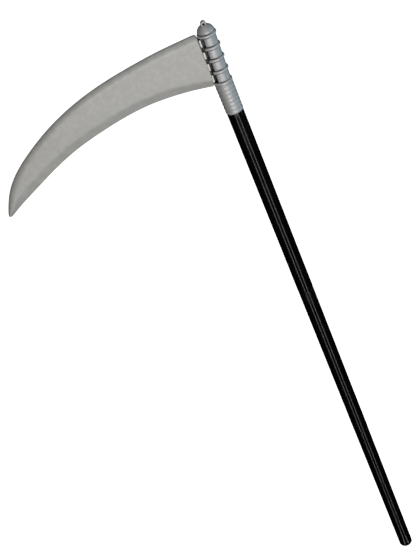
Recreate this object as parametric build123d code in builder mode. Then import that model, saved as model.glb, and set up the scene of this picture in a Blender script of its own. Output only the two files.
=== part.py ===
from build123d import *
import math
import os

os.makedirs("parts", exist_ok=True)

# Toy / costume scythe: hollow plastic blade, ringed plastic head, three-piece
# push-fit tube handle.  Millimetres.  Origin: centre of the butt's flat end,
# +Z up the handle, blade towards -X, its flat faces towards -Y and +Y.

# ------------------------------------------------------------------ sizes
tube_r = 11.0            # handle tubes, outside
tube_wall = 1.5
tube_bore_r = tube_r - tube_wall
section_len = 306.0      # exposed length of each of the three tubes
cap_flange = 2.0         # butt cap lip under the lowest tube
seam_gap = 0.05          # tubes meet end to end
end_chamfer = 0.35
bell_r = 11.15           # slight bell of a tube end that takes a coupler
bell_len = 34.0

run_clear = 0.05         # radial clearance of every push fit
coupler_len_below = 34.0
coupler_len_above = 38.0
coupler_wall = 1.6

rim_z = 920.3            # bottom rim of the head's sleeve
neck_r = 10.3            # reduced top of the upper tube
neck_top_z = 962.0

bead5_z = 965.5          # lowest ring of the head, where its lean starts
lean = 2.2               # degrees, head leans away from the blade
bead_pitch = 16.5
bead_r = 12.7
bead_half = 2.1
barrel_r_low = 11.1
barrel_r_top = 10.75
barrel_bore_r = 9.3
dome_base_z = 68.3       # above bead 5, along the lean
dome_a = 11.2
dome_b = 10.2
eye_z = 79.6
eye_hole_r = 1.3
eye_r = 3.3
eye_half = 3.0

sleeve_r_top = 11.85
sleeve_r_bot = 11.6
ridge_h = 0.40
ridge_pitch = 5.75
socket_r = neck_r + run_clear

flat_x = -7.0            # barrels are cut flat here, facing the blade
bead_cut_x = -8.6        # rings 2 to 5 end here
bead1_cut_x = -12.2      # the top ring ends here
tongue_half = 2.6        # blade tongue, half thickness
tongue_z0, tongue_z1 = 3.0, 63.0
tongue_tip_x = -1.2
pocket_half = 4.3

blade_half = 6.5         # half thickness of the hollow blade
edge_half = 2.0          # half thickness at the blunt edge
bevel_w = 12.0
wall = 1.4
root_x = -12.5           # root end of the blade, measured in the leaning frame

# leaning frame of the head: origin at the centre of ring 5
c_l, s_l = math.cos(math.radians(lean)), math.sin(math.radians(lean))
head_pl = Plane(origin=(0, 0, bead5_z), x_dir=(c_l, 0, -s_l), z_dir=(s_l, 0, c_l))
# its XZ plane: local x along the head's x, local y along the lean, normal -Y
head_xz = Plane(origin=(0, 0, bead5_z), x_dir=(c_l, 0, -s_l), z_dir=(0, -1, 0))


def world(xl, zl):
    """Point of the leaning frame (its y = 0 plane) as world X, Z."""
    return (xl * c_l + zl * s_l, bead5_z - xl * s_l + zl * c_l)


# ------------------------------------------------------------ handle tubes
z1 = section_len
z2 = 2 * section_len

with BuildPart() as butt_cap:
    with BuildSketch(Plane.XZ):
        with BuildLine():
            Polyline((0, 0), (tube_r - 0.9, 0), (tube_r, 0.9), (tube_r, cap_flange),
                     (tube_bore_r - 0.02, cap_flange), (tube_bore_r - 0.02, 13.0),
                     (tube_bore_r - 0.9, 14.5), (tube_bore_r - 2.0, 14.5),
                     (tube_bore_r - 2.0, 4.0), (0, 4.0), (0, 0))
        make_face()
    revolve(axis=Axis.Z)
butt_cap.part.label = "butt_cap"


def tube_profile(zb, zt, bell):
    """Half section of a plain tube from zb to zt, bell mouthed at its foot."""
    ro = bell_r if bell else tube_r
    pts = [(tube_bore_r, zb), (ro - end_chamfer, zb), (ro, zb + end_chamfer)]
    if bell:
        pts += [(bell_r, zb + bell_len), (tube_r, zb + bell_len + 6.0)]
    pts += [(tube_r, zt - end_chamfer), (tube_r - end_chamfer, zt), (tube_bore_r, zt),
            (tube_bore_r, zb)]
    return pts


with BuildPart() as lower_tube:
    with BuildSketch(Plane.XZ):
        with BuildLine():
            Polyline(*tube_profile(cap_flange, z1 - seam_gap / 2, False))
        make_face()
    revolve(axis=Axis.Z)
lower_tube.part.label = "lower_tube"

with BuildPart() as middle_tube:
    with BuildSketch(Plane.XZ):
        with BuildLine():
            Polyline(*tube_profile(z1 + seam_gap / 2, z2 - seam_gap / 2, True))
        make_face()
    revolve(axis=Axis.Z)
middle_tube.part.label = "middle_tube"

with BuildPart() as upper_tube:
    zb = z2 + seam_gap / 2
    zs = rim_z - seam_gap
    with BuildSketch(Plane.XZ):
        with BuildLine():
            Polyline((tube_bore_r, zb), (bell_r - end_chamfer, zb), (bell_r, zb + end_chamfer),
                     (bell_r, zb + bell_len), (tube_r, zb + bell_len + 6.0),
                     (tube_r, zs - 0.3), (tube_r - 0.3, zs), (neck_r, zs),
                     (neck_r, neck_top_z - 1.0), (neck_r - 1.0, neck_top_z),
                     (neck_r - tube_wall, neck_top_z), (neck_r - tube_wall, zs - 6.0),
                     (tube_bore_r, zs - 8.0), (tube_bore_r, zb))
        make_face()
    revolve(axis=Axis.Z)
upper_tube.part.label = "upper_tube"


def coupler_profile(zj):
    """Half section of a coupler: pressed into the tube below zj, free above it."""
    rb = tube_bore_r - 0.02
    ra = tube_bore_r - run_clear
    ri = ra - coupler_wall
    zl, zt = zj - coupler_len_below, zj + coupler_len_above
    return [(ri, zl), (rb - 0.8, zl), (rb, zl + 0.8), (rb, zj), (ra, zj), (ra, zt - 2.5),
            (ra - 0.8, zt), (ri, zt), (ri, zl)]


with BuildPart() as lower_coupler:
    with BuildSketch(Plane.XZ):
        with BuildLine():
            Polyline(*coupler_profile(z1))
        make_face()
    revolve(axis=Axis.Z)
lower_coupler.part.label = "lower_coupler"

with BuildPart() as upper_coupler:
    with BuildSketch(Plane.XZ):
        with BuildLine():
            Polyline(*coupler_profile(z2))
        make_face()
    revolve(axis=Axis.Z)
upper_coupler.part.label = "upper_coupler"


# -------------------------------------------------------------------- head
def sleeve_r(z):
    return sleeve_r_bot + (sleeve_r_top - sleeve_r_bot) * (z - rim_z) / (bead5_z - rim_z)


def barrel_r(zl):
    return barrel_r_low + (barrel_r_top - barrel_r_low) * zl / (4 * bead_pitch)


with BuildPart() as head_whole:
    # ridged sleeve, upright
    with BuildSketch(Plane.XZ):
        with BuildLine():
            pts = [(0, rim_z), (sleeve_r(rim_z) - 0.3, rim_z), (sleeve_r(rim_z) + 0.2, rim_z + 0.6)]
            for k in range(8):
                zr = 922.3 + ridge_pitch * k
                hw = 1.7 if k == 0 else 1.5
                pts += [(sleeve_r(zr) + ridge_h * 0.7, zr - hw * 0.6) if k else (sleeve_r(zr) + 0.4, zr - 0.9),
                        (sleeve_r(zr) + ridge_h, zr),
                        (sleeve_r(zr) + ridge_h * 0.7, zr + hw * 0.6),
                        (sleeve_r(zr), zr + ridge_pitch / 2)]
            pts = pts[:-1] + [(sleeve_r_top + 0.1, bead5_z), (0, bead5_z), (0, rim_z)]
            Polyline(*pts)
        make_face()
    revolve(axis=Axis.Z)
    # barrels and dome, leaning
    with BuildSketch(head_xz):
        with BuildLine():
            Line((0, -1.5), (barrel_r(0), -1.5))
            Line((barrel_r(0), -1.5), (dome_a, dome_base_z))
            EllipticalCenterArc((0, dome_base_z), dome_a, dome_b, start_angle=0, arc_size=90)
            Line((0, dome_base_z + dome_b), (0, -1.5))
        make_face()
    revolve(axis=Axis(origin=head_pl.origin, direction=head_pl.z_dir))
    # flat facing the blade, between ring 5 and ring 1
    with BuildSketch(head_xz):
        with Locations((flat_x - 5, (4 * bead_pitch) / 2)):
            Rectangle(10, 4 * bead_pitch)
    extrude(amount=14, both=True, mode=Mode.SUBTRACT)
    # rings
    for k in range(5):
        with BuildSketch(head_xz):
            with Locations((bead_r - bead_half, k * bead_pitch)):
                Circle(bead_half)
            with Locations(((bead_r - bead_half) / 2, k * bead_pitch)):
                Rectangle(bead_r - bead_half, 2 * bead_half)
        revolve(axis=Axis(origin=head_pl.origin, direction=head_pl.z_dir))
    # rings 2 to 5 stop short of the blade root
    with BuildSketch(head_xz):
        with Locations((bead_cut_x - 5, 1.5 * bead_pitch + 0.2)):
            Rectangle(10, 3 * bead_pitch + 2 * bead_half + 1.0)
        with Locations((bead1_cut_x - 5, 4 * bead_pitch)):
            Rectangle(10, 2 * bead_half + 0.4)
    extrude(amount=14, both=True, mode=Mode.SUBTRACT)
    # hollow: socket for the tube neck, barrel cavity, dome cavity
    with BuildSketch(Plane.XZ):
        with BuildLine():
            Polyline((0, rim_z - 1), (socket_r + 0.35, rim_z - 1), (socket_r + 0.35, rim_z + 0.3),
                     (socket_r, rim_z + 0.8), (socket_r, neck_top_z + 0.3),
                     (0, neck_top_z + 0.3), (0, rim_z - 1))
        make_face()
    revolve(axis=Axis.Z, mode=Mode.SUBTRACT)
    with BuildSketch(head_xz):
        with BuildLine():
            Line((0, -6.0), (8.6, -6.0))
            Line((8.6, -6.0), (barrel_bore_r, 1.0))
            Line((barrel_bore_r, 1.0), (barrel_bore_r, dome_base_z))
            EllipticalCenterArc((0, dome_base_z), barrel_bore_r, dome_b - 1.6, start_angle=0, arc_size=90)
            Line((0, dome_base_z + dome_b - 1.6), (0, -6.0))
        make_face()
    revolve(axis=Axis(origin=head_pl.origin, direction=head_pl.z_dir), mode=Mode.SUBTRACT)
    # box that holds the blade's tongue, and the wall behind the flat
    with BuildSketch(head_xz):
        with Locations(((flat_x + 1.0) / 2, (tongue_z0 + tongue_z1) / 2)):
            Rectangle(1.0 - flat_x, tongue_z1 - tongue_z0 + 3.4)
    extrude(amount=pocket_half, both=True)
    with BuildSketch(head_xz):
        with Locations((flat_x + 0.7, 2 * bead_pitch)):
            Rectangle(1.4, 4 * bead_pitch - 0.4)
    extrude(amount=7.6, both=True)
    with BuildSketch(head_xz):
        with Locations(((flat_x - 3 + tongue_tip_x + 0.3) / 2, (tongue_z0 + tongue_z1) / 2)):
            Rectangle(tongue_tip_x + 0.3 - flat_x + 3, tongue_z1 - tongue_z0 + 0.1)
    extrude(amount=tongue_half + run_clear, both=True, mode=Mode.SUBTRACT)
    # hanging tab on the dome
    with BuildSketch(head_xz):
        with Locations((0, eye_z)):
            Circle(eye_r)
        with BuildLine():
            Polyline((-eye_r, eye_z), (-4.4, eye_z - 4.2), (4.4, eye_z - 4.2), (eye_r, eye_z), (-eye_r, eye_z))
        make_face()
        with Locations((0, eye_z)):
            Circle(eye_hole_r, mode=Mode.SUBTRACT)
    extrude(amount=eye_half, both=True)
    with BuildSketch(head_xz):
        with Locations((0, eye_z)):
            Circle(eye_hole_r)
    extrude(amount=eye_half + 1.0, both=True, mode=Mode.SUBTRACT)

# alignment posts of the head, in its leaning frame: x, z
head_posts = [(5.2, 9.0), (5.2, 57.0)]

with BuildPart() as head_front_shell:
    add(head_whole.part)
    split(bisect_by=Plane.XZ, keep=Keep.TOP)
    with BuildSketch(head_xz.offset(0.1)):
        with Locations(*head_posts):
            Circle(2.8)
    extrude(amount=8.2)
    with BuildSketch(head_xz.offset(0.0)):
        with Locations(*head_posts):
            Circle(1.5 + run_clear)
    extrude(amount=5.0, mode=Mode.SUBTRACT)
head_front_shell.part.label = "head_front_shell"

with BuildPart() as head_rear_shell:
    add(head_whole.part)
    split(bisect_by=Plane.XZ, keep=Keep.BOTTOM)
    with BuildSketch(head_xz.offset(-0.1)):
        with Locations(*head_posts):
            Circle(2.8)
    extrude(amount=-8.2)
    with BuildSketch(head_xz.offset(-0.5)):
        with Locations(*head_posts):
            Circle(1.5)
    extrude(amount=4.9)
head_rear_shell.part.label = "head_rear_shell"

# ------------------------------------------------------------------- blade
# outline in world X, Z, root to tip
spine = [(-34.05, 1034.95), (-62.07, 1033.45), (-92.11, 1030.34), (-135.86, 1023.78), (-181.52, 1012.39),
         (-223.24, 996.03), (-260.72, 975.36), (-290.16, 954.19), (-309.09, 933.87), (-318.83, 917.92)]
tip_a, tip_m, tip_b = (-325.3, 904.6), (-324.6, 901.0), (-320.8, 900.6)
tip_ta, tip_tb = (-0.39, -0.92), (-0.863, -0.505)
edge = [(-33.07, 966.65), (-63.45, 970.75), (-90, 972.25), (-117.85, 970.98), (-147.12, 966.83),
        (-177.3, 960.76), (-208.97, 952.2), (-243.15, 938.95), (-279.66, 921.81), (-308.01, 907.82)]
root_top = world(root_x, 69.7)
root_bot = world(root_x, -3.4)


def normals(pts):
    """Unit left-hand normals of a point row."""
    out = []
    for i in range(len(pts)):
        a, b = pts[max(0, i - 1)], pts[min(len(pts) - 1, i + 1)]
        dx, dz = b[0] - a[0], b[1] - a[1]
        ln = math.hypot(dx, dz)
        out.append((-dz / ln, dx / ln))
    return out


def shifted(pts, dist):
    return [(p[0] + n[0] * d, p[1] + n[1] * d) for p, n, d in zip(pts, normals(pts), dist)]


def blade_outline(top_in, low_in, tip_in, root_in=0.0):
    """Closed outline: spine, tip arc, edge and root, each moved inwards."""
    rt = world(root_x - root_in, 69.7)
    rb = world(root_x - root_in, -3.4)
    sp = [rt] + [p for p in spine if p[0] < rt[0] - 12] + [tip_a]
    ed = [tip_b] + [p for p in reversed(edge) if p[0] < rb[0] - 8] + [rb]
    # the spine runs towards -X, so inwards is its left-hand side
    sp = shifted(sp, [top_in] * (len(sp) - 1) + [tip_in])
    # the edge is run back towards the root: inwards is again the left-hand side
    ed = shifted(ed, [tip_in] + [min(low_in, tip_in + 0.5 * (low_in - tip_in))] + [low_in] * (len(ed) - 2))
    bx, bz = 0.66, 0.75
    a = (tip_a[0] + bx * tip_in + 0.2 * tip_in, tip_a[1] + bz * tip_in)
    m = (tip_m[0] + bx * tip_in * 1.5, tip_m[1] + bz * tip_in * 1.5)
    b = (tip_b[0] + bx * tip_in, tip_b[1] + bz * tip_in + 0.2 * tip_in)
    sp[-1], ed[0] = a, b
    # keep both ends on the root line
    sp[0] = (world(root_x - root_in, 0)[0] + (sp[0][1] - bead5_z) * s_l / c_l, sp[0][1])
    ed[-1] = (world(root_x - root_in, 0)[0] + (ed[-1][1] - bead5_z) * s_l / c_l, ed[-1][1])
    return sp, a, m, b, ed


# the half blade's three levels: flat rim band, mid bevel, face
lv_a = blade_outline(0.0, 0.0, 0.0)
lv_b = blade_outline(1.9, bevel_w * 0.5, 0.9)
lv_c = blade_outline(6.8, bevel_w, 2.3)


def cavity_outline(top_in, low_in, x_end):
    """Hollow of a half blade: inset spine and edge, closed short of the tip."""
    rt = world(root_x - 1.6, 69.7)
    rb = world(root_x - 1.6, -3.4)
    top = shifted([rt] + [p for p in spine if x_end < p[0]], [top_in] * 20)
    low = shifted([p for p in reversed(edge) if x_end + 6 < p[0]] + [rb], [low_in] * 20)
    top[0] = (rt[0] + (top[0][1] - rt[1]) * s_l / c_l, top[0][1])
    low[-1] = (rb[0] + (low[-1][1] - rb[1]) * s_l / c_l, low[-1][1])
    return top, low


cav_1 = cavity_outline(3.0, 8.0, -306.0)
cav_2 = cavity_outline(8.0, 14.0, -284.0)

with BuildPart() as blade_half_solid:
    with BuildSketch(Plane.XZ):
        with BuildLine():
            Spline(*lv_a[0], tangents=[(-1, 0), tip_ta])
            ThreePointArc(lv_a[1], lv_a[2], lv_a[3])
            Spline(*lv_a[4], tangents=[(0.863, 0.505), (0.97, -0.2)])
            Line(lv_a[4][-1], lv_a[0][0])
        make_face()
    extrude(amount=edge_half)
    with BuildSketch(Plane.XZ.offset(edge_half)):
        with BuildLine():
            Spline(*lv_a[0], tangents=[(-1, 0), tip_ta])
            ThreePointArc(lv_a[1], lv_a[2], lv_a[3])
            Spline(*lv_a[4], tangents=[(0.863, 0.505), (0.97, -0.2)])
            Line(lv_a[4][-1], lv_a[0][0])
        make_face()
    with BuildSketch(Plane.XZ.offset((edge_half + blade_half) / 2)):
        with BuildLine():
            Spline(*lv_b[0], tangents=[(-1, 0), tip_ta])
            ThreePointArc(lv_b[1], lv_b[2], lv_b[3])
            Spline(*lv_b[4], tangents=[(0.863, 0.505), (0.97, -0.2)])
            Line(lv_b[4][-1], lv_b[0][0])
        make_face()
    with BuildSketch(Plane.XZ.offset(blade_half)):
        with BuildLine():
            Spline(*lv_c[0], tangents=[(-1, 0), tip_ta])
            ThreePointArc(lv_c[1], lv_c[2], lv_c[3])
            Spline(*lv_c[4], tangents=[(0.863, 0.505), (0.97, -0.2)])
            Line(lv_c[4][-1], lv_c[0][0])
        make_face()
    loft(ruled=True)
    # hollow, in two depths that follow the bevel
    with BuildSketch(Plane.XZ):
        with BuildLine():
            Spline(*cav_1[0])
            Line(cav_1[0][-1], cav_1[1][0])
            Spline(*cav_1[1])
            Line(cav_1[1][-1], cav_1[0][0])
        make_face()
    extrude(amount=3.0, mode=Mode.SUBTRACT)
    with BuildSketch(Plane.XZ):
        with BuildLine():
            Spline(*cav_2[0])
            Line(cav_2[0][-1], cav_2[1][0])
            Spline(*cav_2[1])
            Line(cav_2[1][-1], cav_2[0][0])
        make_face()
    extrude(amount=blade_half - wall, mode=Mode.SUBTRACT)
    # opening in the root wall for the root plug
    with BuildSketch(head_xz):
        with Locations((root_x - 1.5, 37.0)):
            Rectangle(5.0, 54.1)
    extrude(amount=4.95, mode=Mode.SUBTRACT)

# posts that align the two halves: x, z in world; the two at the root pass
# through the root plug
plug_posts = [world(-19.5, 24.0), world(-19.5, 50.0)]
blade_posts = [(-95.0, 1003.0), (-172.0, 988.5), (-236.0, 965.0)]

with BuildPart() as blade_front_shell:
    add(blade_half_solid.part)
    with BuildSketch(Plane.XZ.offset(3.3)):
        with Locations(*plug_posts):
            Circle(4.2)
    extrude(amount=blade_half - wall - 3.3 + 0.3)
    with BuildSketch(Plane.XZ.offset(0.1)):
        with Locations(*blade_posts):
            Circle(3.6)
    extrude(amount=blade_half - wall + 0.2)
    with BuildSketch(Plane.XZ):
        with Locations(*plug_posts):
            Circle(2.0 + run_clear)
        with Locations(*blade_posts):
            Circle(1.8 + run_clear)
    extrude(amount=4.9, mode=Mode.SUBTRACT)
blade_front_shell.part.label = "blade_front_shell"

with BuildPart() as blade_rear_shell:
    add(mirror(blade_half_solid.part, about=Plane.XZ, mode=Mode.PRIVATE))
    with BuildSketch(Plane.XZ.offset(-3.3)):
        with Locations(*plug_posts):
            Circle(4.2)
    extrude(amount=-(blade_half - wall - 3.3 + 0.3))
    with BuildSketch(Plane.XZ.offset(-0.1)):
        with Locations(*blade_posts):
            Circle(3.6)
    extrude(amount=-(blade_half - wall + 0.2))
    with BuildSketch(Plane.XZ.offset(-3.6)):
        with Locations(*plug_posts):
            Circle(2.0)
    extrude(amount=3.6 + 4.6)
    with BuildSketch(Plane.XZ.offset(-0.5)):
        with Locations(*blade_posts):
            Circle(1.8)
    extrude(amount=0.5 + 4.4)
blade_rear_shell.part.label = "blade_rear_shell"

# root plug: closes the blade's root, carries the tongue and four lugs that
# stand between the head's rings
with BuildPart() as blade_root_plug:
    with BuildSketch(head_xz):
        with Locations((root_x - 0.9, 37.0)):
            Rectangle(2.2, 54.0)
    extrude(amount=4.9, both=True)
    with BuildSketch(head_xz):
        with Locations((root_x - 8.0, 38.5)):
            Rectangle(13.0, 45.0)
    extrude(amount=3.2, both=True)
    with BuildSketch(head_xz):
        with Locations(((root_x + 0.1 + tongue_tip_x) / 2, (tongue_z0 + tongue_z1) / 2)):
            RectangleRounded(tongue_tip_x - root_x - 0.1, tongue_z1 - tongue_z0, 1.0)
    extrude(amount=tongue_half, both=True)
    for k in range(4):
        with BuildSketch(head_xz):
            with Locations((-11.2, (k + 0.5) * bead_pitch)):
                RectangleRounded(2.4, 9.8, 0.7)
        extrude(amount=5.6, both=True)
    with BuildSketch(Plane.XZ):
        with Locations(*plug_posts):
            Circle(2.0 + run_clear)
    extrude(amount=10, both=True, mode=Mode.SUBTRACT)
blade_root_plug.part.label = "blade_root_plug"

# ------------------------------------------------------------------ export
for sub in (butt_cap, lower_tube, middle_tube, upper_tube, lower_coupler, upper_coupler,
            head_front_shell, head_rear_shell, blade_front_shell, blade_rear_shell,
            blade_root_plug):
    export_step(sub.part, "parts/" + sub.part.label + ".step")
    bb = sub.part.bounding_box()
    print(sub.part.label, len(sub.part.solids()), round(sub.part.volume, 1),
          [round(v, 2) for v in (bb.min.X, bb.min.Y, bb.min.Z, bb.max.X, bb.max.Y, bb.max.Z)])
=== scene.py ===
import math

import bmesh
import bpy
import numpy as np
from mathutils import Matrix, Vector


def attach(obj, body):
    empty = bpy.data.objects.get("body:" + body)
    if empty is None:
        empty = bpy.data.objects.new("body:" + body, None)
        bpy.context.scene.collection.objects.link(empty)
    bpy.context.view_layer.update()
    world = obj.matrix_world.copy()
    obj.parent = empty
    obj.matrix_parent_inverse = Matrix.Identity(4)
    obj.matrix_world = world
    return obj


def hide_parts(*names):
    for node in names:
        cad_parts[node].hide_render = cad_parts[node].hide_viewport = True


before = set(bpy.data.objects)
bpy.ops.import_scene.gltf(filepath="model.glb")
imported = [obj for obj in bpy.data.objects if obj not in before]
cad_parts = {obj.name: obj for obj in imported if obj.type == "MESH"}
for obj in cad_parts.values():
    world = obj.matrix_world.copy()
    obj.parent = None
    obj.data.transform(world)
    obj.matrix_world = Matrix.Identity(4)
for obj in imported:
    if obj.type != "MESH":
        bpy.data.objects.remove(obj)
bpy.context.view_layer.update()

MM = 0.001
# light levels
KEY, KEY_AZ, KEY_EL, FILL, TOP = 33.2, 4.0, -5.0, 8.3, 7.0
AMB_LOW, AMB_TOP = 0.15, 0.33
WEDGE, WEDGE_AZ, WEDGE_HALF = 4.6, 21.0, 2.3
scene = bpy.context.scene

# ---------------------------------------------------------------- sizes (mm)
BEAD5_Z = 965.5
LEAN = math.radians(2.2)
CL, SL = math.cos(LEAN), math.sin(LEAN)
PITCH = 16.5
FLAT_X, BEAD_CUT, BEAD1_CUT = -7.0, -8.6, -12.2
ROOT_X = -13.35
RIM_Z = 920.3
SEC = 306.0


def leaning(xl, yl, zl):
    """A point of the head's leaning frame in the row frame, mm."""
    return (xl * CL + zl * SL, yl, BEAD5_Z - xl * SL + zl * CL)


def to_leaning(x, z):
    return (x * CL - (z - BEAD5_Z) * SL, x * SL + (z - BEAD5_Z) * CL)


# ------------------------------------------------------------- mesh helpers
def make_object(name, verts_mm, faces, mats, smooth_angle=40.0):
    me = bpy.data.meshes.new(name)
    me.from_pydata([tuple(c * MM for c in v) for v in verts_mm], [], faces)
    me.update()
    ob = bpy.data.objects.new(name, me)
    scene.collection.objects.link(ob)
    clean(ob)
    for m in mats:
        ob.data.materials.append(m)
    shade(ob, smooth_angle)
    return ob


def clean(ob, dist=2e-6):
    bm = bmesh.new()
    bm.from_mesh(ob.data)
    bmesh.ops.remove_doubles(bm, verts=bm.verts, dist=dist)
    bmesh.ops.dissolve_degenerate(bm, edges=bm.edges, dist=1e-7)
    bmesh.ops.recalc_face_normals(bm, faces=bm.faces)
    loose = [v for v in bm.verts if not v.link_faces]
    bmesh.ops.delete(bm, geom=loose, context="VERTS")
    bm.to_mesh(ob.data)
    bm.free()
    ob.data.update()


def shade(ob, angle):
    """Smooth faces, with sharp edges above the angle."""
    bm = bmesh.new()
    bm.from_mesh(ob.data)
    lim = math.radians(angle)
    for f in bm.faces:
        f.smooth = True
    for e in bm.edges:
        e.smooth = not (len(e.link_faces) == 2 and e.calc_face_angle(0.0) > lim)
    bm.to_mesh(ob.data)
    bm.free()


def revolve(profile, seg=128, wobble=None):
    """Closed ring from a closed (r, z) profile; points with r 0 become poles."""
    verts, faces = [], []
    n = len(profile)
    for j in range(seg):
        a = 2 * math.pi * j / seg
        for (r, z) in profile:
            rr = r + (wobble(a, z) if wobble and r > 0.5 else 0.0)
            verts.append((rr * math.cos(a), rr * math.sin(a), z))
    for j in range(seg):
        k = (j + 1) % seg
        for i in range(n):
            i2 = (i + 1) % n
            if profile[i][0] < 1e-6 and profile[i2][0] < 1e-6:
                continue
            if profile[i][0] < 1e-6:
                faces.append((j * n + i, k * n + i2, j * n + i2))
            elif profile[i2][0] < 1e-6:
                faces.append((j * n + i, k * n + i, j * n + i2))
            else:
                faces.append((j * n + i, k * n + i, k * n + i2, j * n + i2))
    return verts, faces


def boolean(ob, cutter, op="DIFFERENCE"):
    mod = ob.modifiers.new("cut", "BOOLEAN")
    mod.operation = op
    mod.solver = "EXACT"
    mod.object = cutter
    dg = bpy.context.evaluated_depsgraph_get()
    me = bpy.data.meshes.new_from_object(ob.evaluated_get(dg))
    ob.modifiers.clear()
    old = ob.data
    ob.data = me
    bpy.data.meshes.remove(old)
    bpy.data.objects.remove(cutter)


def rounded_box(bm, lo, hi, r, segments=4, place=None):
    """Adds a box with rounded edges to bm; place maps mm points."""
    tmp = bmesh.new()
    bmesh.ops.create_cube(tmp, size=1.0)
    for v in tmp.verts:
        v.co = Vector([lo[i] + (v.co[i] + 0.5) * (hi[i] - lo[i]) for i in range(3)])
    bmesh.ops.bevel(tmp, geom=list(tmp.edges), offset=r, segments=segments, profile=0.5, affect="EDGES")
    idx = {}
    for v in tmp.verts:
        p = place(*v.co) if place else tuple(v.co)
        idx[v] = bm.verts.new([c * MM for c in p])
    for f in tmp.faces:
        bm.faces.new([idx[v] for v in f.verts])
    tmp.free()


# ----------------------------------------------------------------- materials
def node_mat(name):
    m = bpy.data.materials.new(name)
    m.use_nodes = True
    nt = m.node_tree
    nt.nodes.clear()
    out = nt.nodes.new("ShaderNodeOutputMaterial")
    b = nt.nodes.new("ShaderNodeBsdfPrincipled")
    nt.links.new(b.outputs["BSDF"], out.inputs["Surface"])
    return m, nt, b


def coords(nt, scale=(1, 1, 1)):
    tc = nt.nodes.new("ShaderNodeTexCoord")
    mp = nt.nodes.new("ShaderNodeMapping")
    mp.inputs["Scale"].default_value = scale
    nt.links.new(tc.outputs["Object"], mp.inputs["Vector"])
    return mp.outputs["Vector"]


def noise(nt, vec, scale, detail=3.0, rough=0.55, distortion=0.0):
    n = nt.nodes.new("ShaderNodeTexNoise")
    n.inputs["Scale"].default_value = scale
    n.inputs["Detail"].default_value = detail
    n.inputs["Roughness"].default_value = rough
    n.inputs["Distortion"].default_value = distortion
    nt.links.new(vec, n.inputs["Vector"])
    return n.outputs["Fac"]


def ramp(nt, fac, stops):
    r = nt.nodes.new("ShaderNodeValToRGB")
    cr = r.color_ramp
    while len(cr.elements) < len(stops):
        cr.elements.new(0.5)
    for e, (p, c) in zip(cr.elements, stops):
        e.position = p
        e.color = (c[0], c[1], c[2], 1.0)
    nt.links.new(fac, r.inputs["Fac"])
    return r.outputs["Color"]


def rescale(nt, fac, lo, hi, a=0.0, b=1.0):
    m = nt.nodes.new("ShaderNodeMapRange")
    m.inputs["From Min"].default_value = a
    m.inputs["From Max"].default_value = b
    m.inputs["To Min"].default_value = lo
    m.inputs["To Max"].default_value = hi
    nt.links.new(fac, m.inputs["Value"])
    return m.outputs["Result"]


def mix_col(nt, fac, a, b, mode="MIX"):
    m = nt.nodes.new("ShaderNodeMix")
    m.data_type = "RGBA"
    m.blend_type = mode
    if isinstance(fac, float):
        m.inputs[0].default_value = fac
    else:
        nt.links.new(fac, m.inputs[0])
    for sock, val in ((m.inputs[6], a), (m.inputs[7], b)):
        if isinstance(val, tuple):
            sock.default_value = (val[0], val[1], val[2], 1.0)
        else:
            nt.links.new(val, sock)
    return m.outputs[2]


def math_node(nt, op, a, b=None):
    m = nt.nodes.new("ShaderNodeMath")
    m.operation = op
    for i, v in enumerate((a, b)):
        if v is None:
            continue
        if isinstance(v, (int, float)):
            m.inputs[i].default_value = v
        else:
            nt.links.new(v, m.inputs[i])
    return m.outputs[0]


def bump(nt, b, height, strength, distance, chain=None):
    n = nt.nodes.new("ShaderNodeBump")
    n.inputs["Strength"].default_value = strength
    n.inputs["Distance"].default_value = distance
    nt.links.new(height, n.inputs["Height"])
    if chain is not None:
        nt.links.new(chain, n.inputs["Normal"])
    nt.links.new(n.outputs["Normal"], b.inputs["Normal"])
    return n.outputs["Normal"]


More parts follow.
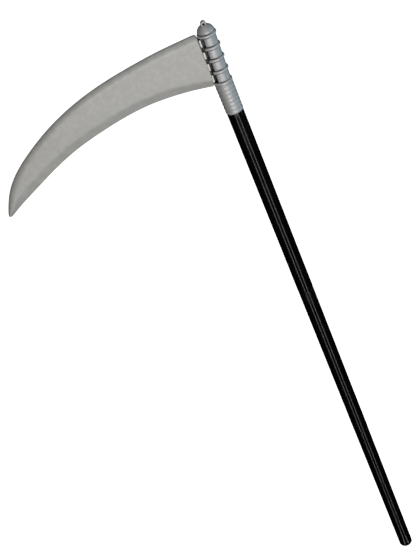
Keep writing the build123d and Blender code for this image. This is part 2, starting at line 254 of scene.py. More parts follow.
def silver_paint(name, base, rough=(0.40, 0.52), metallic=0.25, grain=0.05, painted_light=False, mottle=0.05, warm_shift=0.0):
    """Silver-grey paint on moulded plastic: fine flake, faint clouds, tiny scuffs; with painted_light also painted
    shade and painted highlight from mesh attributes.
    """
    m, nt, b = node_mat(name)
    v = coords(nt)
    cloud = noise(nt, v, 14.0, 3.0, 0.5)
    patch = noise(nt, v, 130.0, 3.0, 0.55)
    fine = noise(nt, v, 1600.0, 2.0, 0.6)
    mid = noise(nt, v, 420.0, 3.0, 0.6)
    dark = tuple(c * (1 - mottle) for c in base)
    light = tuple(min(1.0, c * (1 + mottle)) for c in base)
    cool = (base[0] * 0.985, base[1] * 0.995, base[2] * 1.02)
    warm = (base[0] * 1.02, base[1] * 1.005, base[2] * 0.965)
    c1 = ramp(nt, cloud, [(0.32, cool), (0.52, base), (0.70, warm)])
    c1 = mix_col(nt, rescale(nt, patch, 0.0, 0.85, 0.36, 0.56), dark, c1)
    c1 = mix_col(nt, rescale(nt, patch, 0.0, 0.85, 0.50, 0.70), c1, light)
    c2 = mix_col(nt, rescale(nt, mid, 0.0, 0.35, 0.45, 0.72), c1, dark)
    c2 = mix_col(nt, rescale(nt, fine, 0.0, 0.5, 0.40, 0.75), c2, light)
    # sparse rubbed specks
    vs = nt.nodes.new("ShaderNodeTexVoronoi")
    vs.inputs["Scale"].default_value = 240.0
    nt.links.new(v, vs.inputs["Vector"])
    speck = rescale(nt, vs.outputs["Distance"], 1.0, 0.0, 0.03, 0.09)
    rare = rescale(nt, noise(nt, v, 55.0, 1.0), 0.0, 0.55, 0.60, 0.70)
    sp = math_node(nt, "MULTIPLY", speck, rare)
    c3 = mix_col(nt, sp, c2, tuple(c * 0.72 for c in base))
    if painted_light:
        # painted shade: near-black beside the rings and on the side next to the blade; painted highlight: lighter
        # silver on the ring crests
        at = nt.nodes.new("ShaderNodeAttribute")
        at.attribute_name = "painted_shade"
        painted_shade_fac = math_node(nt, "MULTIPLY", at.outputs["Fac"], rescale(nt, patch, 1.1, 0.88, 0.3, 0.7))
        painted_shade_fac = rescale(nt, painted_shade_fac, 0.0, 1.0, 0.0, 1.0)
        c3 = mix_col(nt, painted_shade_fac, c3, (base[0] * 0.035, base[1] * 0.035, base[2] * 0.045))
        # painted highlight on the ring crests
        aw = nt.nodes.new("ShaderNodeAttribute")
        aw.attribute_name = "crest_highlight"
        c3 = mix_col(nt, math_node(nt, "MULTIPLY", aw.outputs["Fac"], rescale(nt, mid, 0.25, 0.75, 0.3, 0.7)),
                     c3, tuple(min(1.0, c * 1.35) for c in base))
    nt.links.new(c3, b.inputs["Base Color"])
    b.inputs["Metallic"].default_value = metallic
    rr = math_node(nt, "ADD", rescale(nt, mid, rough[0], rough[1], 0.3, 0.7), math_node(nt, "MULTIPLY", cloud, 0.05))
    nt.links.new(rr, b.inputs["Roughness"])
    b.inputs["Specular IOR Level"].default_value = 0.4
    n1 = bump(nt, b, mid, 0.12, 0.00012)
    bump(nt, b, fine, grain, 0.00006, n1)
    return m


def black_tube(name, base=(0.0011, 0.0011, 0.0014), rough=(0.12, 0.19)):
    """Extruded gloss black plastic: drawn lines along the tube, faint haze, scuffs."""
    m, nt, b = node_mat(name)
    v = coords(nt)
    vl = coords(nt, (1.0, 1.0, 0.02))
    draw = noise(nt, vl, 900.0, 2.0, 0.5)
    wave = noise(nt, coords(nt, (1.0, 1.0, 0.25)), 60.0, 2.0, 0.5)
    haze = noise(nt, v, 30.0, 3.0, 0.6)
    fine = noise(nt, v, 1500.0, 2.0)
    c1 = ramp(nt, haze, [(0.3, base), (0.7, tuple(c * 1.9 for c in base))])
    # hairline scuffs round the tube
    sc = nt.nodes.new("ShaderNodeTexNoise")
    sc.inputs["Scale"].default_value = 120.0
    sc.inputs["Detail"].default_value = 4.0
    nt.links.new(coords(nt, (0.15, 0.15, 6.0)), sc.inputs["Vector"])
    scuff = math_node(nt, "MULTIPLY", rescale(nt, sc.outputs["Fac"], 0.0, 1.0, 0.66, 0.74),
                      rescale(nt, haze, 0.0, 0.6, 0.5, 0.7))
    c2 = mix_col(nt, scuff, c1, tuple(c * 5.0 for c in base))
    nt.links.new(c2, b.inputs["Base Color"])
    rr = math_node(nt, "ADD", rescale(nt, haze, rough[0], rough[1], 0.3, 0.7), math_node(nt, "MULTIPLY", scuff, 0.2))
    # the last 25 mm below the upper seam are rubbed dull by the push fit
    sz = nt.nodes.new("ShaderNodeSeparateXYZ")
    nt.links.new(v, sz.inputs[0])
    band = math_node(nt, "MULTIPLY", rescale(nt, sz.outputs["Z"], 0.0, 1.0, 0.586, 0.592),
                     rescale(nt, sz.outputs["Z"], 1.0, 0.0, 0.6118, 0.6122))
    rr = math_node(nt, "ADD", rr, math_node(nt, "MULTIPLY", band, 0.07))
    nt.links.new(rr, b.inputs["Roughness"])
    b.inputs["Specular IOR Level"].default_value = 0.5
    b.inputs["IOR"].default_value = 1.49
    n1 = bump(nt, b, wave, 0.16, 0.0004)
    n2 = bump(nt, b, draw, 0.05, 0.00006, n1)
    bump(nt, b, fine, 0.03, 0.00003, n2)
    return m


def matte_black(name, base=(0.014, 0.014, 0.015)):
    m, nt, b = node_mat(name)
    v = coords(nt)
    cloud = noise(nt, v, 40.0, 3.0)
    fine = noise(nt, v, 900.0, 3.0)
    c1 = ramp(nt, cloud, [(0.3, base), (0.7, tuple(c * 1.6 for c in base))])
    nt.links.new(c1, b.inputs["Base Color"])
    nt.links.new(rescale(nt, fine, 0.42, 0.62, 0.3, 0.7), b.inputs["Roughness"])
    b.inputs["Specular IOR Level"].default_value = 0.4
    bump(nt, b, fine, 0.12, 0.00008)
    return m


M_BLADE = silver_paint("blade_silver", (0.412, 0.405, 0.390), (0.50, 0.58), 0.22, 0.06, False, 0.08)
# lighter copy of the blade's silver for the lugs: painted highlight
M_LUG_LIT = silver_paint("plug_silver", (0.72, 0.72, 0.70), (0.42, 0.54), 0.1, 0.05)
# near-black for the plate and tongue: painted shade in the gap beside the head
M_TONGUE_SHADE = matte_black("tongue_shade_dark", (0.006, 0.006, 0.007))
M_HEAD = silver_paint("head_silver", (0.44, 0.44, 0.445), (0.48, 0.56), 0.44, 0.05, True)
M_TUBE = black_tube("tube_black")
M_COUPLER = matte_black("coupler_black", (0.022, 0.022, 0.024))
M_CAP = matte_black("cap_black", (0.003, 0.003, 0.0035))

# -------------------------------------------------------------------- blade
SPINE = [(-34.05, 1034.95), (-62.07, 1033.45), (-92.11, 1030.34), (-135.86, 1023.78), (-181.52, 1012.39),
         (-223.24, 996.03), (-260.72, 975.36), (-290.16, 954.19), (-309.09, 933.87), (-318.83, 917.92)]
TIP_A, TIP_M, TIP_B = (-325.3, 904.6), (-324.6, 901.0), (-320.8, 900.6)
EDGE = [(-33.07, 966.65), (-63.45, 970.75), (-90.0, 972.25), (-117.85, 970.98), (-147.12, 966.83),
        (-177.3, 960.76), (-208.97, 952.2), (-243.15, 938.95), (-279.66, 921.81), (-308.01, 907.82)]


def cubic(points, t0, t1, n):
    """Cubic spline through points with unit end tangents, resampled evenly."""
    p = np.array(points, float)
    h = np.linalg.norm(np.diff(p, axis=0), axis=1)
    m = len(p)
    a = np.zeros((m, m))
    rhs = np.zeros((m, 2))
    a[0, 0] = a[-1, -1] = 1.0
    rhs[0], rhs[-1] = t0, t1
    for i in range(1, m - 1):
        a[i, i - 1] = h[i]
        a[i, i] = 2 * (h[i - 1] + h[i])
        a[i, i + 1] = h[i - 1]
        rhs[i] = 3 * (h[i] * (p[i] - p[i - 1]) / h[i - 1] + h[i - 1] * (p[i + 1] - p[i]) / h[i])
    d = np.linalg.solve(a, rhs)
    out = []
    for i in range(m - 1):
        for s in np.linspace(0, 1, 40, endpoint=False):
            h00, h10 = 2 * s**3 - 3 * s**2 + 1, s**3 - 2 * s**2 + s
            h01, h11 = -2 * s**3 + 3 * s**2, s**3 - s**2
            out.append(h00 * p[i] + h10 * h[i] * d[i] + h01 * p[i + 1] + h11 * h[i] * d[i + 1])
    out.append(p[-1])
    return np.array(out)


def arc3(a, m, b, n):
    """Points of the circle through a, m, b."""
    ax, ay, bx, by, cx, cy = *a, *m, *b
    d = 2 * (ax * (by - cy) + bx * (cy - ay) + cx * (ay - by))
    ux = ((ax**2 + ay**2) * (by - cy) + (bx**2 + by**2) * (cy - ay) + (cx**2 + cy**2) * (ay - by)) / d
    uy = ((ax**2 + ay**2) * (cx - bx) + (bx**2 + by**2) * (ax - cx) + (cx**2 + cy**2) * (bx - ax)) / d
    r = math.hypot(ax - ux, ay - uy)
    t = [math.atan2(q[1] - uy, q[0] - ux) for q in (a, m, b)]
    if abs(t[1] - t[0]) > math.pi:
        t[1] += math.copysign(2 * math.pi, t[0] - t[1])
    if abs(t[2] - t[1]) > math.pi:
        t[2] += math.copysign(2 * math.pi, t[1] - t[2])
    return np.array([(ux + r * math.cos(q), uy + r * math.sin(q)) for q in np.linspace(t[0], t[2], n)])


def resample(path, ts):
    """Points of a polyline at the given fractions of its length, with unit tangents and the length."""
    seg = np.linalg.norm(np.diff(path, axis=0), axis=1)
    s = np.concatenate([[0], np.cumsum(seg)])
    q = np.array(ts) * s[-1]
    pts = np.stack([np.interp(q, s, path[:, 0]), np.interp(q, s, path[:, 1])], 1)
    e = 0.8
    a = np.stack([np.interp(np.clip(q - e, 0, s[-1]), s, path[:, i]) for i in (0, 1)], 1)
    b = np.stack([np.interp(np.clip(q + e, 0, s[-1]), s, path[:, i]) for i in (0, 1)], 1)
    t = (b - a) / np.linalg.norm(b - a, axis=1)[:, None]
    return pts, t, s[-1]


root_top = leaning(ROOT_X, 0, 69.7)
root_bot = leaning(ROOT_X + 0.3, 0, -3.4)
arc = arc3(TIP_A, TIP_M, TIP_B, 41)
spine_path = np.vstack([cubic([(root_top[0], root_top[2])] + SPINE + [TIP_A], (-1, 0), (-0.39, -0.92), 0),
                        arc[1:21]])
edge_path = np.vstack([cubic([(root_bot[0], root_bot[2])] + EDGE + [TIP_B], (-0.97, 0.2), (-0.863, -0.505), 0),
                       arc[-2:19:-1]])
NU = 190
ts = np.concatenate([[0, 0.0006, 0.0014, 0.0026, 0.0042], np.linspace(0.008, 0.93, NU - 40),
                     np.linspace(0.933, 0.997, 33), [0.9985, 1.0]])
sp, st, slen = resample(spine_path, ts)
ep, et, elen = resample(edge_path, ts)
sn = np.stack([-st[:, 1], st[:, 0]], 1)      # inwards from the spine: left of its direction
en = np.stack([et[:, 1], -et[:, 0]], 1)      # inwards from the edge: right of its direction

# the back of the blade is rounded over about 8 mm, the cutting side is a bevel
S_ROWS = [(0.10, 0.0), (0.0, 0.22)] + [(8.0 * (1 - math.cos(math.radians(q))), 6.47 * math.sin(math.radians(q)))
                                       for q in (8, 16, 24, 32, 40, 48, 56, 64, 71, 78, 84, 90)]
E_ROWS = [(0.10, 0.0), (0.0, 0.22), (0.10, 0.8), (0.35, 1.3), (0.75, 1.68), (1.3, 1.98), (2.6, 2.5),
          (4.4, 3.2), (6.2, 3.9), (8.0, 4.6), (9.4, 5.15), (10.5, 5.56), (11.4, 5.87), (12.3, 6.12),
          (13.4, 6.32), (15.0, 6.45)]
NMID = 14


def blade_half(name, sign):
    verts, idx = [], {}
    rows = len(S_ROWS) + NMID + len(E_ROWS)
    grid = np.zeros((len(ts), rows, 3))
    for i, t in enumerate(ts):
        w = float(np.linalg.norm(ep[i] - sp[i]))
        x = sp[i][0]
        bev = 0.80 + 0.22 * min(1.0, max(0.0, (-x - 12.0) / 60.0))     # bevel narrows to the root
        near = min(1.0, (w / 26.0) ** 0.85)
        g_s, g_e = min(1.0, w / 20.0), bev * near
        close = math.sqrt(max(0.0, 1 - (1 - min(w / 13.0, 1.0)) ** 2))
        # rounded rim of the root end
        dr = t * slen
        r0 = 1.3
        tuck = r0 - math.sqrt(max(0.0, r0 * r0 - (r0 - min(dr, r0)) ** 2))
        pts = []
        for d, y in S_ROWS:
            pts.append((sp[i] + sn[i] * d * g_s, y))
        for d, y in reversed(E_ROWS):
            pts.append((ep[i] + en[i] * d * g_e, y))
        a, b = pts[len(S_ROWS) - 1], pts[len(S_ROWS)]
        mids = []
        for k in range(NMID):
            f = (k + 1) / (NMID + 1)
            q = a[0] * (1 - f) + b[0] * f
            # moulded faces are never quite flat
            sink = 0.05 * math.sin(q[0] / 23.0 + 0.7) * math.sin(math.pi * f) + 0.03 * math.sin(q[1] / 9.0 + q[0] / 41.0)
            mids.append((q, 6.47 + 0.03 * math.sin(math.pi * f) - max(0.0, sink)))
        allp = pts[:len(S_ROWS)] + mids + pts[len(S_ROWS):]
        for j, (q, y) in enumerate(allp):
            yy = max(0.0, min(y, y * close)) if w < 13 else y
            yy = max(0.0, yy - tuck) if yy > r0 else yy
            grid[i, j] = (q[0], sign * yy, q[1])
    # rounded upper corner of the root
    rc = 4.2
    for i in range(26):
        for j in range(rows):
            xl, zl = to_leaning(grid[i, j, 0], grid[i, j, 2])
            u, v = (xl - (ROOT_X - rc)) / rc, (zl - (69.7 - rc)) / rc
            if u > 0 and v > 0:
                u1, v1 = min(u, 1.0), min(v, 1.0)
                x2 = u1 * math.sqrt(1 - v1 * v1 / 2) + (u - u1)
                z2 = v1 * math.sqrt(1 - u1 * u1 / 2) + (v - v1)
                p = leaning(ROOT_X - rc + x2 * rc, 0, 69.7 - rc + z2 * rc)
                grid[i, j, 0], grid[i, j, 2] = p[0], p[2]
    nu = len(ts)
    front = [tuple(grid[i, j]) for i in range(nu) for j in range(rows)]
    back = [(grid[i, j][0], 0.0, grid[i, j][2]) for i in range(nu) for j in range(rows)]
    off = len(front)
    faces = []
    for i in range(nu - 1):
        for j in range(rows - 1):
            q = (i * rows + j, (i + 1) * rows + j, (i + 1) * rows + j + 1, i * rows + j + 1)
            faces.append(q)
            faces.append(tuple(off + c for c in reversed(q)))
    for j in range(rows - 1):       # root end wall
        faces.append((j, j + 1, off + j + 1, off + j))
        k = (nu - 1) * rows
        faces.append((k + j + 1, k + j, off + k + j, off + k + j + 1))
    ob = make_object(name, front + back, faces, [M_BLADE], 48)
    return ob


blade_front = blade_half("blade_front_skin", -1)
blade_rear = blade_half("blade_rear_skin", 1)
for ob, node in ((blade_front, "blade_front_shell"), (blade_rear, "blade_rear_shell")):
    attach(ob, "blade")
    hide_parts(node)

# root plug: tongue, end plate and four lugs
bm = bmesh.new()
rounded_box(bm, (-14.4, -4.85, 10.1), (-12.32, 4.85, 63.9), 0.25, 2, leaning)
rounded_box(bm, (-26.5, -3.15, 16.1), (-14.0, 3.15, 60.9), 0.5, 2, leaning)
rounded_box(bm, (-12.6, -2.6, 3.0), (-1.2, 2.6, 63.0), 0.5, 3, leaning)
for k in range(4):
    zc = (k + 0.5) * PITCH
    rounded_box(bm, (-12.05, -5.6, zc - 4.75), (-10.0, 5.6, zc + 4.75), 0.38, 4, leaning)
me = bpy.data.meshes.new("blade_root_tongue")
bm.to_mesh(me)
bm.free()
plug = bpy.data.objects.new("blade_root_tongue", me)
scene.collection.objects.link(plug)
clean(plug)
plug.data.materials.append(M_LUG_LIT)
plug.data.materials.append(M_TONGUE_SHADE)
shade(plug, 40)
for poly in plug.data.polygons:
    # the lugs are sprayed with the blade, here in a lighter silver as painted highlight; the plate and tongue are
    # near-black as painted shade for the gap beside the barrels
    xl, zl = to_leaning(poly.center.x / MM, poly.center.z / MM)
    lug = -12.30 < xl < -9.9 and abs(poly.center.y / MM) > 2.7 and abs(zl / PITCH % 1 - 0.5) * PITCH < 5.0
    poly.material_index = 0 if lug else 1
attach(plug, "blade")
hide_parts("blade_root_plug")


# --------------------------------------------------------------------- head
def head_profile():
    """Outer and socket profile (r, z above ring 5), upright."""
    z0 = RIM_Z - BEAD5_Z
    pts = []
    ztop_socket = 962.3 - BEAD5_Z
    pts += [(0.0, ztop_socket), (5.0, ztop_socket), (9.6, ztop_socket), (10.25, ztop_socket - 0.15),
            (10.35, ztop_socket - 0.5)]
    for z in np.linspace(ztop_socket - 2.5, z0 + 1.2, 9):
        pts.append((10.35, float(z)))
    pts += [(10.4, z0 + 0.75), (10.6, z0 + 0.25), (10.85, z0 + 0.02), (11.2, z0)]
    # sleeve with ridges
    zs = np.arange(z0 + 0.05, -2.4, 0.26)
    for z in zs:
        zz = z + BEAD5_Z
        base = 11.6 + 0.25 * (zz - RIM_Z) / (BEAD5_Z - RIM_Z)
        amp = 0.0
        for k in range(8):
            zr = 922.3 + 5.75 * k
            wdt = 1.25
            amp += (0.42 if k == 0 else 0.40) * math.exp(-((zz - zr) / wdt) ** 2)
        r = base + amp - 0.06
        d = z - z0
        if d < 0.55:
            r = min(r, 11.2 + math.sqrt(max(0.0, 1 - (1 - d / 0.55) ** 2)) * (r - 11.2))
        pts.append((float(r), float(z)))
    # rings and barrels
    raw = []
    z = -2.3
    while z < 68.35:
        br = 11.1 + (10.75 - 11.1) * max(z, 0) / 66.0
        if z < -1.0:
            br = 11.83
        r = br
        for k in range(5):
            dz = z - k * PITCH
            # a narrow groove runs along both sides of each ring
            if k < 5 and abs(dz) < 3.6:
                up_side = 1.0 if dz > 0 else 0.6
                if not (k == 0 and dz < 0):
                    r -= 0.45 * up_side * math.exp(-((abs(dz) - 2.25) / 0.50) ** 2)
            if abs(dz) < 2.1:
                r = max(r, 10.6 + math.sqrt(2.1 ** 2 - dz * dz))
        if z > 66 and abs(z - 4 * PITCH) < 2.1:
            r = max(r, 10.6 + math.sqrt(2.1 ** 2 - (z - 4 * PITCH) ** 2))
        raw.append((r, z))
        z += 0.06
    raw = np.array(raw)
    # soften the roots of the rings along the profile's own length
    seg = np.linalg.norm(np.diff(raw, axis=0), axis=1)
    s = np.concatenate([[0], np.cumsum(seg)])
    q = np.arange(0, s[-1], 0.06)
    fine = np.stack([np.interp(q, s, raw[:, 0]), np.interp(q, s, raw[:, 1])], 1)
    ker = np.exp(-0.5 * (np.arange(-18, 19) * 0.06 / 0.16) ** 2)
    ker /= ker.sum()
    pad = np.vstack([np.repeat(fine[:1], 18, 0), fine, np.repeat(fine[-1:], 18, 0)])
    sm = np.stack([np.convolve(pad[:, i], ker, "valid") for i in (0, 1)], 1)
    # keep points where the profile bends, fewer on the straight barrels
    last = sm[0]
    lastd = None
    for i in range(1, len(sm) - 1):
        v = sm[i] - last
        ln = np.linalg.norm(v)
        d1 = sm[i + 1] - sm[i]
        bend = 0.0
        if lastd is not None:
            cr = lastd[0] * d1[1] - lastd[1] * d1[0]
            bend = abs(cr) / (np.linalg.norm(lastd) * np.linalg.norm(d1) + 1e-9)
        if ln > 1.3 or (ln > 0.17 and bend > 0.10):
            pts.append((float(sm[i][0]), float(sm[i][1])))
            last = sm[i]
            lastd = d1
        elif lastd is None:
            lastd = d1
    # dome
    for a in np.linspace(3, 88, 22):
        a = math.radians(a)
        pts.append((11.2 * math.cos(a), 68.3 + 10.2 * math.sin(a)))
    pts.append((0.0, 78.5))
    return pts


HP = head_profile()


def head_clamp(z):
    """Lowest local x of the outer skin at height z above ring 5."""
    if z < 2.15:
        return -99.0
    if z > 4 * PITCH - 2.3:
        return BEAD1_CUT
    for k in range(1, 4):
        if abs(z - k * PITCH) < 2.35:
            return BEAD_CUT
    return FLAT_X


def head_half(name, sign):
    seg = 56
    verts, faces = [], []
    n = len(HP)
    # columns are evenly spaced over the half turn
    phis = list(np.linspace(0, math.pi, seg + 1))
    for j, a in enumerate(phis):
        for i, (r, z) in enumerate(HP):
            x, y = r * math.cos(a), r * math.sin(a)
            outer = i > 18
            if outer:
                c = head_clamp(z)
                if x < c:
                    x = c
                # fine parting line
                if j in (0, seg):
                    x -= math.copysign(0.09, x)
            w = min(1.0, max(0.0, (z + 3.0) / 6.0))
            th = LEAN * w * w * (3 - 2 * w)
            cl, sl = math.cos(th), math.sin(th)
            verts.append((x * cl + z * sl, sign * y, BEAD5_Z - x * sl + z * cl))
    for j in range(seg):
        for i in range(n - 1):
            a0, a1, b0, b1 = j * n + i, j * n + i + 1, (j + 1) * n + i, (j + 1) * n + i + 1
            faces.append((a0, b0, b1, a1))
    # flat face on the mid plane
    loop = [i for i in range(n)] + [seg * n + i for i in range(n - 2, 0, -1)]
    faces.append(tuple(loop))
    ob = make_object(name, verts, faces, [M_HEAD], 180)
    # pocket for the tongue
    bmc = bmesh.new()
    lo = (-13.0, -2.66, 2.94)
    hi = (-0.9, 2.66, 63.06)
    bmesh.ops.create_cube(bmc, size=1.0)
    for v in bmc.verts:
        c = [lo[i] + (v.co[i] + 0.5) * (hi[i] - lo[i]) for i in range(3)]
        v.co = Vector([q * MM for q in leaning(*c)])
    mc = bpy.data.meshes.new("cutter")
    bmc.to_mesh(mc)
    bmc.free()
    cutter = bpy.data.objects.new("cutter", mc)
    scene.collection.objects.link(cutter)
    boolean(ob, cutter)
    clean(ob, 1e-6)
    ob.data.materials.clear()
    ob.data.materials.append(M_HEAD)
    shade(ob, 38)
    return ob


def half_tab(sign):
    """Half of the hanging tab: a plate with a hole, rounded edges."""
    cz, hole, rad, half = 79.6, 1.3, 3.3, 3.0
    nth = 72
    base_w, base_z = 4.4, -4.2
    poly = []
    verts, faces = [], []
    sect = []
    rr = 0.92
    for k in range(nth):
        a = 2 * math.pi * k / nth
        dx, dz = math.cos(a), math.sin(a)
        if dz >= 0:
            R = rad
        else:
            # sides run out to the base
            t_base = base_z / dz
            # side line from (rad, 0) to (base_w, base_z)
            ex, ez = base_w - rad, base_z
            den = abs(dx) * ez - dz * ex
            t_side = (rad * ez) / den if abs(den) > 1e-9 else 1e9
            cand = [t for t in (t_base, t_side) if t > 0]
            R = min(cand)
        ring = []
        # section: hole edge, face, outer edge, from the mid plane outwards
        ring.append((hole, 0.0))
        for q in (0.0, 30.0, 60.0, 90.0):
            q = math.radians(q)
            ring.append((hole + rr * (1 - math.cos(q)), half - rr + rr * math.sin(q)))
        for f in (0.33, 0.66):
            ring.append((hole + rr + (R - hole - 2 * rr) * f, half))
        for q in (90.0, 60.0, 30.0, 0.0):
            q = math.radians(q)
            ring.append((R - rr * (1 - math.cos(q)), half - rr + rr * math.sin(q)))
        ring.append((R, 0.0))
        sect.append(len(ring))
        for (r, y) in ring:
            verts.append(leaning(r * dx, sign * y, cz + r * dz))
    m = sect[0]
    for k in range(nth):
        k2 = (k + 1) % nth
        for i in range(m):
            i2 = (i + 1) % m
            faces.append((k * m + i, k2 * m + i, k2 * m + i2, k * m + i2))
    return verts, faces


def add_tab(ob, sign):
    v, f = half_tab(sign)
    tab = make_object("tab", v, f, [M_HEAD], 50)
    boolean(ob, tab, "UNION")
    clean(ob, 1e-6)
    ob.data.materials.clear()
    ob.data.materials.append(M_HEAD)
    shade(ob, 38)


def mark(ob):
    """Stores painted shade for each point (beside the rings, on the side facing the blade, in the tab's hole and along
    its base) and painted highlight on the ring crests.
    """
    me = ob.data
    gv = np.zeros(len(me.vertices), np.float32)
    cv = np.zeros(len(me.vertices), np.float32)
    for i, vtx in enumerate(me.vertices):
        x, y, z = (c / MM for c in vtx.co)
        xl, zl = to_leaning(x, z)
        r = math.hypot(xl, y)
        g = c = 0.0
        # the painted shade thins out away from the blade, toward the lit side
        side = 1.0 - 0.90 * max(0.0, min(1.0, (xl - 0.0) / 8.0))
        for k in range(5):
            dz = zl - k * PITCH
            if r < 12.2:
                if dz > 0:
                    g = max(g, side * 1.0 * math.exp(-((dz - 2.35) / 0.62) ** 2))
                elif k:
                    g = max(g, side * 0.95 * math.exp(-((dz + 2.35) / 0.55) ** 2))
                else:
                    g = max(g, 0.25 * math.exp(-((dz + 2.3) / 0.5) ** 2))
            if r > 12.1 and abs(dz) < 2.0:
                c = max(c, (r - 12.1) / 0.6)
        # the side that faces the blade gets painted shade
        if zl > 2.0 and zl < 68.0 and xl < 0:
            edge = max(0.0, min(1.0, (-xl - 5.0) / 1.5)) if r < 11.6 else max(0.0, min(1.0, (-xl - 7.6) / 0.8))
            if zl > 64.2 and r > 11.6:
                edge = 0.0
            g = max(g, edge)
        # painted shade in the tab's hole and a thin line along the tab's base
        if zl > 76.5:
            hr = math.hypot(xl, zl - 79.6)
            if hr < 1.6:
                g = max(g, 1.0 if hr < 1.5 else 0.8)
            elif abs(zl - 77.8) < 0.4 and abs(xl) < 4.6 and abs(y) < 3.6:
                g = max(g, 0.35)
        gv[i], cv[i] = min(1.0, g), min(1.0, c)
    for nm, val in (("painted_shade", gv), ("crest_highlight", cv)):
        at = me.attributes.new(nm, "FLOAT", "POINT")
        at.data.foreach_set("value", val)


head_front = head_half("head_front_skin", -1)
head_rear = head_half("head_rear_skin", 1)
add_tab(head_front, -1)
add_tab(head_rear, 1)
mark(head_front)
mark(head_rear)
for ob, node in ((head_front, "head_front_shell"), (head_rear, "head_rear_shell")):
    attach(ob, "head")
    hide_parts(node)


# ------------------------------------------------------------------- handle
def fillet_profile(points, r, n=5):
    """Rounds each corner of a closed profile by up to r."""
    out = []
    m = len(points)
    for i in range(m):
        p0, p1, p2 = (np.array(points[(i + k) % m][:2], float) for k in (-1, 0, 1))
        a, b = p0 - p1, p2 - p1
        la, lb = np.linalg.norm(a), np.linalg.norm(b)
        if la < 1e-6 or lb < 1e-6:
            continue
        rr = points[i][2] if len(points[i]) > 2 else r
        d = min(rr, la * 0.45, lb * 0.45)
        if rr <= 0 or points[i][0] < 1e-6:
            out.append(tuple(p1[:2]))
            continue
        q0, q2 = p1 + a / la * d, p1 + b / lb * d
        for k in range(n + 1):
            t = k / n
            q = (1 - t) ** 2 * q0 + 2 * t * (1 - t) * p1 + t * t * q2
            out.append((float(q[0]), float(q[1])))
    return out


def long_profile(points, step=9.0):
    """Splits long runs so that a tube can carry its slight waves."""
    out = []
    m = len(points)
    for i in range(m):
        a, b = points[i], points[(i + 1) % m]
        out.append(a)
        ln = math.hypot(b[0] - a[0], b[1] - a[1])
        k = int(ln // step)
        for j in range(1, k + 1):
            t = j / (k + 1)
            out.append((a[0] + (b[0] - a[0]) * t, a[1] + (b[1] - a[1]) * t))
    return out


def tube_wobble(seed):
    def f(a, z):
        return 0.018 * math.sin(z / 31.0 + seed) * math.cos(2 * a + seed) + 0.010 * math.sin(z / 13.0 + 2.1 * seed + a)
    return f


def turned(name, node, body, mat, profile, r=0.25, wobble=None, seg=144, angle=35):
    prof = [p[:2] for p in profile] if r == 0 else fillet_profile(profile, r)
    prof = long_profile(prof) if wobble else prof
    v, f = revolve(prof, seg, wobble)
    ob = make_object(name, v, f, [mat], angle)
    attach(ob, body)
    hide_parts(node)
    return ob


G = 0.36        # shadow gap at each side of a seam
turned("lower_tube_skin", "lower_tube", "lower_handle", M_TUBE,
       [(9.5, 2.0), (11.02, 2.0), (11.27, SEC - G, 0.7), (9.5, SEC - G)], 0.32, tube_wobble(0.4))
for name, node, body, zb, zt in (("middle_tube_skin", "middle_tube", "middle_handle", SEC + G, 2 * SEC - G),):
    turned(name, node, body, M_TUBE,
           [(9.5, zb), (11.42, zb, 1.0), (11.42, zb + 34, 6.0), (11.3, zb + 40, 6.0), (11.3, zt, 1.0), (9.5, zt)],
           0.32, tube_wobble(1.9))
zb, zs = 2 * SEC + G, RIM_Z - 0.05
turned("upper_tube_skin", "upper_tube", "upper_handle", M_TUBE,
       [(9.5, zb), (11.42, zb, 1.0), (11.42, zb + 34, 6.0), (11.3, zb + 40, 6.0), (11.25, zs), (10.3, zs),
        (10.3, 962.0, 0.9), (8.8, 962.0), (8.8, zs - 6.0), (9.5, zs - 8.0)],
       0.28, tube_wobble(3.3))
for name, node, body, zj in (("lower_spigot", "lower_coupler", "lower_handle", SEC),
                             ("upper_spigot", "upper_coupler", "middle_handle", 2 * SEC)):
    zl, zt = zj - 34.0, zj + 38.0
    prof = [(7.85, zl), (9.48, zl, 0.8), (9.48, zj), (9.45, zj), (9.45, zt - 9.0), (9.25, zt - 8.4, 0.3),
            (9.25, zt - 7.4, 0.3), (9.45, zt - 6.8), (9.45, zt - 2.5, 0.6), (8.75, zt, 0.5), (7.85, zt)]
    turned(name, node, body, M_COUPLER, prof, 0.25)
turned("butt_plug", "butt_cap", "lower_handle", M_CAP,
       [(0.0, 0.0), (11.0, 0.0, 0.5), (11.0, 1.98, 0.2), (9.45, 1.98), (9.45, 13.0), (8.6, 14.5, 0.4), (7.5, 14.5, 0.3),
        (7.5, 4.0), (0.0, 4.0)], 0.2)

# -------------------------------------------------------------------- stage
bpy.ops.mesh.primitive_plane_add(size=12.0, location=(0, 0, -0.0004))
floor = bpy.context.active_object
floor.name = "floor"
mf, nt, b = node_mat("floor_white")
b.inputs["Base Color"].default_value = (0.80, 0.80, 0.80, 1)
b.inputs["Roughness"].default_value = 0.9
b.inputs["Specular IOR Level"].default_value = 0.0
b.inputs["Emission Color"].default_value = (1, 1, 1, 1)
lp = nt.nodes.new("ShaderNodeLightPath")
nt.links.new(math_node(nt, "MULTIPLY", lp.outputs["Is Camera Ray"], 1.0), b.inputs["Emission Strength"])
floor.data.materials.append(mf)
floor.visible_glossy = False
floor.visible_diffuse = False

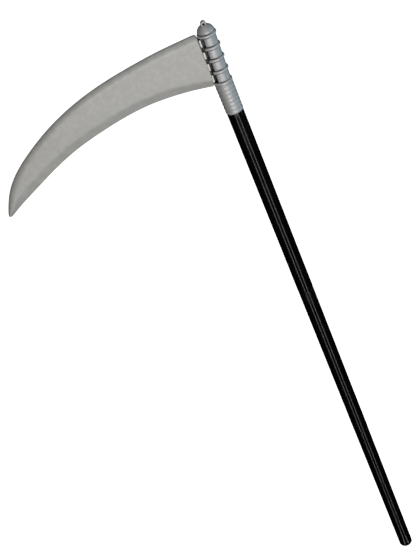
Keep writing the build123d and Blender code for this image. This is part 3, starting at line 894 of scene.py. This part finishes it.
# world: plain white to the camera, a soft grey dome to the object, lighter
# above than below; reflections see almost nothing
world = bpy.data.worlds.new("studio")
scene.world = world
world.use_nodes = True
nt = world.node_tree
nt.nodes.clear()
wo = nt.nodes.new("ShaderNodeOutputWorld")
tc = nt.nodes.new("ShaderNodeTexCoord")
sx = nt.nodes.new("ShaderNodeSeparateXYZ")
nt.links.new(tc.outputs["Generated"], sx.inputs[0])
bg1 = nt.nodes.new("ShaderNodeBackground")
bg2 = nt.nodes.new("ShaderNodeBackground")
bg3 = nt.nodes.new("ShaderNodeBackground")
bg1.inputs["Color"].default_value = (0.97, 1.0, 0.97, 1)
side = rescale(nt, sx.outputs["X"], 0.36, 1.26, -1.0, 0.8)
nt.links.new(math_node(nt, "MULTIPLY", rescale(nt, sx.outputs["Z"], AMB_LOW, AMB_TOP, -0.6, 0.9), side),
             bg1.inputs["Strength"])
bg2.inputs["Color"].default_value = (0.9, 0.95, 1.0, 1)
bg2.inputs["Strength"].default_value = 0.002
bg3.inputs["Color"].default_value = (1, 1, 1, 1)
bg3.inputs["Strength"].default_value = 1.0
lp = nt.nodes.new("ShaderNodeLightPath")
mx1 = nt.nodes.new("ShaderNodeMixShader")
mx2 = nt.nodes.new("ShaderNodeMixShader")
nt.links.new(lp.outputs["Is Glossy Ray"], mx1.inputs[0])
nt.links.new(bg1.outputs[0], mx1.inputs[1])
nt.links.new(bg2.outputs[0], mx1.inputs[2])
nt.links.new(lp.outputs["Is Camera Ray"], mx2.inputs[0])
nt.links.new(mx1.outputs[0], mx2.inputs[1])
nt.links.new(bg3.outputs[0], mx2.inputs[2])
nt.links.new(mx2.outputs[0], wo.inputs["Surface"])


def area(name, az, elev, dist, size, power, color=(1, 1, 1), glossy=True, target=(-0.06, 0, 0.95)):
    """Soft box at an azimuth (0 faces the front, plus is right) and elevation."""
    a, e = math.radians(az), math.radians(elev)
    t = Vector(target)
    loc = t + Vector((math.sin(a) * math.cos(e), -math.cos(a) * math.cos(e), math.sin(e))) * dist
    ld = bpy.data.lights.new(name, "AREA")
    ld.shape = "RECTANGLE"
    ld.size, ld.size_y = size
    ld.energy = power
    ld.color = color
    ob = bpy.data.objects.new(name, ld)
    scene.collection.objects.link(ob)
    ob.location = loc
    ob.rotation_mode = "QUATERNION"
    ob.rotation_quaternion = (t - loc).to_track_quat("-Z", "Y")
    ob.visible_camera = False
    ob.visible_glossy = glossy
    return ob


area("key", KEY_AZ, KEY_EL, 2.2, (1.25, 1.3), KEY, (1.0, 0.985, 0.965), True)
area("fill_right", 80.0, -4.0, 2.0, (0.9, 1.3), FILL, (0.38, 0.79, 1.0), True)
area("top", 5.0, 76.0, 2.0, (1.4, 1.4), TOP, (0.92, 0.96, 1.0), True)

# two low wedges, seen only in reflections, draw the thin lines down the handle
for sgn in (-1, 1):
    az = math.radians(WEDGE_AZ) * sgn
    half = math.radians(WEDGE_HALF)
    pts, quads = [], []
    for q, (dist, share) in enumerate(((0.0125, 0.9), (0.03, 0.62), (0.12, 0.56), (0.3, 0.72), (0.7, 0.92), (1.4, 1.0), (3.0, 1.0))):
        for s2 in (-1, 1):
            pts.append((math.sin(az + s2 * half * share) * dist, -math.cos(az + s2 * half * share) * dist, 0.003))
        if q:
            quads.append((2 * q - 2, 2 * q - 1, 2 * q + 1, 2 * q))
    me = bpy.data.meshes.new("wedge")
    me.from_pydata(pts, [], quads)
    wd = bpy.data.objects.new("wedge_%s" % ("a" if sgn < 0 else "b"), me)
    scene.collection.objects.link(wd)
    mw = bpy.data.materials.new("wedge_light")
    mw.use_nodes = True
    nw = mw.node_tree
    nw.nodes.clear()
    ow = nw.nodes.new("ShaderNodeOutputMaterial")
    em = nw.nodes.new("ShaderNodeEmission")
    em.inputs["Strength"].default_value = WEDGE
    nw.links.new(em.outputs[0], ow.inputs["Surface"])
    me.materials.append(mw)
    wd.visible_camera = False
    wd.visible_diffuse = False
    wd.visible_shadow = False
    wd.visible_transmission = False

# ------------------------------------------------------------------- camera
cam_data = bpy.data.cameras.new("camera")
cam = bpy.data.objects.new("camera", cam_data)
scene.collection.objects.link(cam)
cam_data.sensor_fit = "AUTO"
cam_data.sensor_width = 36.0
cam_data.lens = 1056.0 / 560.0 * 36.0
cam_data.clip_start = 0.05
cam_data.clip_end = 50.0
right = Vector((0.92638946, -0.15209543, -0.34448448)).normalized()
up = Vector((0.36778333, 0.56187132, 0.74096966)).normalized()
fwd = Vector((-0.08085785, 0.81312213, -0.57644983)).normalized()
up = (up - fwd * up.dot(fwd)).normalized()
right = fwd.cross(up)
cam.matrix_world = Matrix.Translation((0.0, -1.21531, 1.548545)) @ Matrix((right, up, -fwd)).transposed().to_4x4()
scene.camera = cam

scene.view_settings.view_transform = "Standard"
scene.view_settings.look = "None"
scene.view_settings.exposure = 0.0
scene.view_settings.gamma = 1.0
